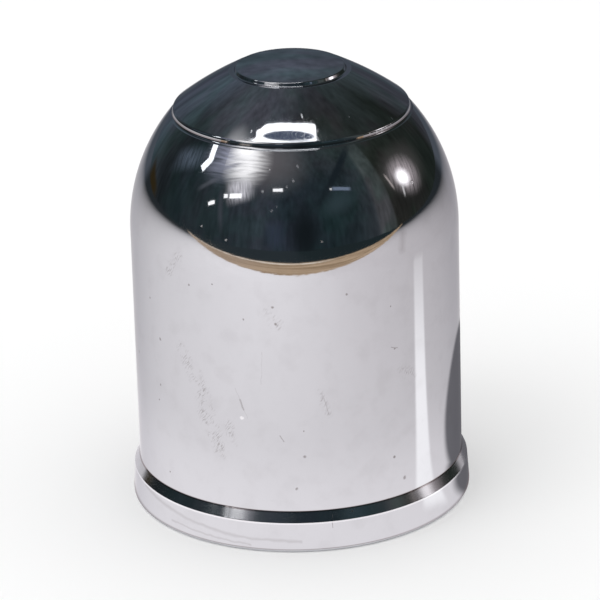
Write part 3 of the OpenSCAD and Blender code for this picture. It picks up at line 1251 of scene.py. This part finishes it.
@dataclass
class OverheadLamp:
    """The pale lamp panel above the cover, with a dark eye-shaped opening. Its places are in metres."""

    height: float = 2.0
    left: float = -0.63
    left_front: float = -0.76
    right: float = 0.42
    behind: float = 0.055
    front: float = -0.40
    bend: float = 0.31
    bend_middle: float = 0.06
    eye_middle: Point = (-0.06, -0.104)
    eye_half: Point = (0.455, 0.066)
    strength: float = 2.4

    def build(self) -> bpy.types.Object:
        """Makes the panel as a flat sheet overhead, which its material trims."""
        corners = np.array([(-1, -1, 0), (-1, 1, 0), (1, 1, 0), (1, -1, 0)], float)
        piece = stage_piece("overhead_lamp", corners + (0, 0, self.height), [[0, 1, 2, 3]])
        piece.data.materials.append(self._material())
        show_only_in_mirror(piece)
        return piece

    def _material(self) -> bpy.types.Material:
        """White between bent edges, but dark blue inside (x/a) squared plus (y/b) squared under 1."""
        material, w, emission, blend = glow("overhead_lamp")
        place, x, y = w.place()[:3]
        off = w.math("SUBTRACT", x, self.bend_middle)
        level = w.math("MULTIPLY_ADD", w.math("MULTIPLY", off, off), -self.bend, y)
        ragged = w.math("MULTIPLY_ADD", w.noise(place, 7.0, 4.0), 0.05, -0.025)
        slanted = w.math("MULTIPLY_ADD", w.ease(x, -0.40, -0.68), 0.10, level)
        share = w.math(
            "MULTIPLY",
            w.ease(w.math("ADD", slanted, ragged), self.behind + 0.008, self.behind - 0.004),
            w.ease(level, self.front - 0.006, self.front + 0.006),
        )
        left = w.math("MULTIPLY_ADD", w.ease(level, -0.10, -0.20), self.left_front - self.left, self.left)
        share = w.math("MULTIPLY", share, w.ease(w.math("SUBTRACT", x, left), 0.0, 0.012))
        share = w.math("MULTIPLY", share, w.ease(x, self.right + 0.006, self.right - 0.006))
        u = w.math("DIVIDE", w.math("SUBTRACT", x, self.eye_middle[0]), self.eye_half[0])
        v = w.math("DIVIDE", w.math("SUBTRACT", level, self.eye_middle[1]), self.eye_half[1])
        reach = w.math("ADD", w.math("MULTIPLY", u, u), w.math("MULTIPLY", v, v))
        inside = w.ease(reach, 1.15, 0.8)
        w.feed(emission.inputs["Color"], w.mix(inside, (0.96, 0.98, 1.0, 1.0), (0.040, 0.050, 0.075, 1.0)))
        w.feed(emission.inputs["Strength"], self.strength)
        w.feed(blend.inputs[0], share)
        return material


@dataclass
class StudioTable:
    """The pale table top, with what the plating mirrors on and beyond the pale sheet.

    Attributes:
        half: Half the side of the floor.
        sheet_front: Where the sheet ends towards the camera.
        sheet_slant: How much that end draws back for each metre to the side.
        wood_front: Where the wood beyond it ends.
        wood_slant: How much that end draws back for each metre to the side.
        lift: Height of the mirrored surroundings above the floor.
        reach: How far the light on the table reaches to the side and to the back, down to half.
        foot_r: Radius of the cover's mouth.
        contact_middle: Middle of the part of the shade that meets the cover's foot.
        contact_half: Half axes of that part.
        shade_middle: Middle of the cover's own shade on the table.
        shade_half: Half axes of that shade.
        white: Grey value of the floor.
        own_glow: How much the floor glows by itself.
    """

    half: float = 12000.0
    sheet_front: float = -195.0
    sheet_slant: float = 0.11
    wood_front: float = -368.0
    wood_slant: float = 0.06
    lift: float = 0.6
    reach: Point = (800.0, 255.0)
    foot_r: float = 31.15
    contact_middle: Point = (29.0, 3.0)
    contact_half: Point = (11.5, 11.5)
    shade_middle: Point = (31.0, 37.0)
    shade_half: Point = (39.0, 39.0)
    white: float = 0.82
    own_glow: float = 0.15

    def build(self) -> list[bpy.types.Object]:
        """Makes the floor and the mirrored surroundings of the sheet.

        Returns:
            The two stage pieces.
        """
        return [self._floor(), self._beyond()]

    def _square(self, name: str, half: float, height: float) -> bpy.types.Object:
        """A flat square about the origin, at a height."""
        corners = np.array([(-1, -1, 0), (1, -1, 0), (1, 1, 0), (-1, 1, 0)], float)
        return stage_piece(name, corners * half * MM + (0, 0, height * MM), [[0, 1, 2, 3]])

    def _floor(self) -> bpy.types.Object:
        """A matt white floor that keeps the cover's shadow."""
        piece = self._square("floor", self.half, 0.0)
        material = bpy.data.materials.new("pale_floor")
        material.use_nodes = True
        shader = material.node_tree.nodes["Principled BSDF"]
        shader.inputs["Base Color"].default_value = (self.white, self.white, self.white, 1.0)
        shader.inputs["Roughness"].default_value = 1.0
        shader.inputs["Specular IOR Level"].default_value = 0.0
        shader.inputs["Emission Color"].default_value = (1.0, 1.0, 1.0, 1.0)
        shader.inputs["Emission Strength"].default_value = self.own_glow
        piece.data.materials.append(material)
        return piece

    def _beyond(self) -> bpy.types.Object:
        """The table as the plating mirrors it over x and y, in metres: sheet, shade, wood and the dark."""
        piece = self._square("mirrored_table", self.half / 4, self.lift)
        material, w, emission, blend = glow("mirrored_table")
        place, x, y = w.place()[:3]
        near = self._spread(w, x, y, (0.0, 0.0), (self.foot_r, self.foot_r))
        tone = self._sheet(w, place, x, y, near)
        shade = w.math(
            "MAXIMUM",
            w.ease(self._spread(w, x, y, self.shade_middle, self.shade_half), 1.07, 0.93),
            w.ease(self._spread(w, x, y, self.contact_middle, self.contact_half), 1.25, 0.85),
        )
        tone = w.mix(shade, tone, (0.215, 0.210, 0.225, 1.0))
        # Painted light: the bright strip beside the cover.
        tone = w.mix(self._streak(w, x, y), tone, (1.33, 1.31, 1.32, 1.0))
        # Painted contact shade: a dark reddish line on the mirrored table right at the cover's foot.
        tone = w.mix(w.math("MULTIPLY", w.ease(near, 1.025, 1.0), 0.6), tone, (0.34, 0.28, 0.28, 1.0))
        aside = w.math("ABSOLUTE", x)
        backward = w.math("MAXIMUM", y, 0.0)
        away = self._spread(w, x, backward, (0.0, 0.0), self.reach)
        behind = w.ease(w.math("DIVIDE", y, w.math("ADD", aside, 0.001)), 0.90, 1.30)
        dim = w.mix(behind, (0.026, 0.032, 0.036, 1.0), (0.105, 0.122, 0.145, 1.0))
        tone = w.mix(w.ease(away, 0.15, 2.1), tone, dim)
        wander = w.math("MULTIPLY_ADD", w.noise(place, 70.0, 5.0), 0.034, -0.017)
        wander = w.math("MULTIPLY", wander, w.ease(aside, 0.12, 0.05))
        sheet_end = w.math("MULTIPLY_ADD", aside, -self.sheet_slant, self.sheet_front * MM)
        wood_end = w.math("MULTIPLY_ADD", aside, -self.wood_slant, self.wood_front * MM)
        past_sheet = w.math("SUBTRACT", w.math("ADD", sheet_end, wander), y)
        past_wood = w.math("SUBTRACT", wood_end, y)
        tone = w.mix(w.ease(past_sheet, 0.0, 0.012), tone, self._wood(w, place, x, past_wood))
        beyond = w.mix(w.ease(x, -0.05, 0.12), (0.030, 0.040, 0.046, 1.0), (0.019, 0.029, 0.032, 1.0))
        tone = w.mix(w.ease(past_wood, 0.0, 0.02), tone, beyond)
        w.feed(emission.inputs["Color"], tone)
        w.feed(blend.inputs[0], 1.0)
        piece.data.materials.append(material)
        show_only_in_mirror(piece)
        return piece

    @staticmethod
    def _sheet(
        w: Wiring,
        place: bpy.types.NodeSocket,
        x: bpy.types.NodeSocket,
        y: bpy.types.NodeSocket,
        near: bpy.types.NodeSocket,
    ) -> bpy.types.NodeSocket:
        """The sheet's tone with painted light and shade: lighter towards the front and at the cover's foot,
        greyer on the right.
        """
        tone = w.mix(w.ease(x, -0.08, 0.20), (1.0, 0.972, 0.988, 1.0), (0.735, 0.698, 0.716, 1.0))
        slope = w.math("MINIMUM", w.math("MAXIMUM", w.math("MULTIPLY_ADD", y, -1.0, 0.94), 0.86), 1.10)
        uneven = w.math("MULTIPLY_ADD", w.noise(place, 40.0, 3.0), 0.05, -0.025)
        lit = w.math("MULTIPLY_ADD", w.ease(near, 2.6, 1.3), 0.16, w.math("ADD", slope, uneven))
        scaled = w.add("VectorMath", operation="SCALE")
        w.feed(scaled.inputs[0], tone)
        w.feed(scaled.inputs["Scale"], lit)
        return scaled.outputs[0]

    @staticmethod
    def _spread(
        w: Wiring, x: bpy.types.NodeSocket, y: bpy.types.NodeSocket, middle: Point, half: Point
    ) -> bpy.types.NodeSocket:
        """How far out a place is: the root of (x/a) squared plus (y/b) squared about a middle."""
        u = w.math("DIVIDE", w.math("SUBTRACT", x, middle[0] * MM), half[0] * MM)
        v = w.math("DIVIDE", w.math("SUBTRACT", y, middle[1] * MM), half[1] * MM)
        return w.math("SQRT", w.math("ADD", w.math("MULTIPLY", u, u), w.math("MULTIPLY", v, v)))

    @staticmethod
    def _streak(w: Wiring, x: bpy.types.NodeSocket, y: bpy.types.NodeSocket) -> bpy.types.NodeSocket:
        """A painted strip of light on the mirrored table that leaves the cover towards the right, widens and
        fades out.
        """
        out = w.math("SUBTRACT", x, 0.035)
        off = w.math("ABSOLUTE", w.math("SUBTRACT", y, w.math("MULTIPLY_ADD", out, 0.075, -0.0175)))
        half = w.math("MULTIPLY_ADD", out, 0.06, 0.0042)
        across = w.ease(w.math("DIVIDE", off, half), 1.25, 0.75)
        return w.math("MULTIPLY", w.math("MULTIPLY", across, w.ease(x, 0.19, 0.07)), w.ease(x, 0.028, 0.036))

    @staticmethod
    def _wood(
        w: Wiring, place: bpy.types.NodeSocket, x: bpy.types.NodeSocket, past_wood: bpy.types.NodeSocket
    ) -> bpy.types.NodeSocket:
        """Golden wood grain, greyer to the left, with a pale line along its far edge."""
        along = w.add("Mapping")
        w.feed(along.inputs["Vector"], place)
        w.feed(along.inputs["Scale"], (4.0, 46.0, 1.0))
        veins = w.ease(w.noise(along.outputs[0], 1.0, 4.0), 0.3, 0.7)
        grain = w.mix(veins, (0.34, 0.235, 0.145, 1.0), (0.66, 0.49, 0.335, 1.0))
        grain = w.mix(w.math("MULTIPLY", w.ease(x, -0.02, -0.25), 0.6), grain, (0.49, 0.375, 0.29, 1.0))
        line = w.math("MULTIPLY", w.ease(past_wood, -0.030, -0.020), w.ease(past_wood, -0.004, -0.010))
        faded = w.math("MULTIPLY", line, w.math("MULTIPLY", w.ease(x, 0.22, 0.05), 0.85))
        return w.mix(faded, grain, (1.15, 1.05, 0.92, 1.0))


@dataclass
class StudioLight:
    """A plain white sky and one large soft lamp above on the left."""

    sky: float = 0.97
    azimuth: float = -50.0
    elevation: float = 52.0
    distance: float = 1.6
    size: float = 0.9
    power: float = 4.0

    def build(self) -> bpy.types.Object:
        """Makes the sky and the lamp, and returns the lamp."""
        world = bpy.data.worlds.new("studio")
        world.use_nodes = True
        sky = world.node_tree.nodes["Background"]
        sky.inputs["Color"].default_value = (1.0, 1.0, 1.0, 1.0)
        sky.inputs["Strength"].default_value = self.sky
        bpy.context.scene.world = world
        light = bpy.data.lights.new("soft_lamp", "AREA")
        light.size = self.size
        light.energy = self.power
        lamp = bpy.data.objects.new("soft_lamp", light)
        bpy.context.scene.collection.objects.link(lamp)
        ahead = Vector(direction(self.azimuth, self.elevation))
        lamp.location = ahead * self.distance
        lamp.rotation_euler = ahead.to_track_quat("Z", "Y").to_euler()
        lamp.visible_glossy = False
        return lamp


@dataclass
class PhotoCamera:
    """The camera, as fitted to the photograph's outline of the cover.

    Attributes:
        watched: Height of the point on the axis that the fit is about.
        distance: Distance of the camera from that point.
        elevation: How far the camera is above the horizon.
        scale: Pixels a millimetre at that point.
        roll: How far the camera is turned clockwise, seen from behind it.
        seen_at: Where the photograph shows that point, in pixels from its upper left.
        image: Side of the photograph in pixels.
        sensor: Width of the sensor.
    """

    watched: float = 40.0
    distance: float = 750.3
    elevation: float = 21.721
    scale: float = 5.489
    roll: float = 1.619
    seen_at: Point = (296.15, 281.24)
    image: float = 600.0
    sensor: float = 36.0

    def build(self) -> bpy.types.Object:
        """Places the camera and makes it the scene's.

        The picture's middle lies off the watched point by a few pixels. Turned back by the roll and
        divided by the scale, that is how far to the right and down the camera is aimed.

        Returns:
            The camera.
        """
        back = Vector(direction(0.0, self.elevation))
        right = Vector((1.0, 0.0, 0.0))
        up = back.cross(right)
        point = Vector((0.0, 0.0, self.watched))
        t = math.radians(-self.roll)
        x, y = self.image / 2 - self.seen_at[0], self.image / 2 - self.seen_at[1]
        across, down = math.cos(t) * x + math.sin(t) * y, math.cos(t) * y - math.sin(t) * x
        aim = point + right * across / self.scale - up * down / self.scale
        eye = point + back * self.distance
        data = bpy.data.cameras.new("photo_camera")
        data.sensor_width = self.sensor
        data.lens = self.scale * self.distance * self.sensor / self.image
        data.clip_start, data.clip_end = 0.01, 60.0
        camera = bpy.data.objects.new("photo_camera", data)
        bpy.context.scene.collection.objects.link(camera)
        turned = (eye - aim).to_track_quat("Z", "Y").to_matrix().to_4x4()
        roll = Matrix.Rotation(math.radians(-self.roll), 4, "Z")
        camera.matrix_world = Matrix.Translation(eye * MM) @ turned @ roll
        bpy.context.scene.camera = camera
        return camera


def main() -> None:
    """Builds the camera, the cover and the studio in order and reports each."""
    logging.basicConfig(level=logging.INFO, format="%(message)s")
    bpy.context.scene.view_settings.view_transform = "Standard"
    log.info("camera: %s", PhotoCamera().build().name)
    log.info("cover: %s", TowBallCover().build().name)
    for builder in (StudioTable(), DimRoom()):
        log.info("stage: %s", ", ".join(piece.name for piece in builder.build()))
    log.info("light: %s", StudioLight().build().name)


if __name__ == "__main__":
    main()
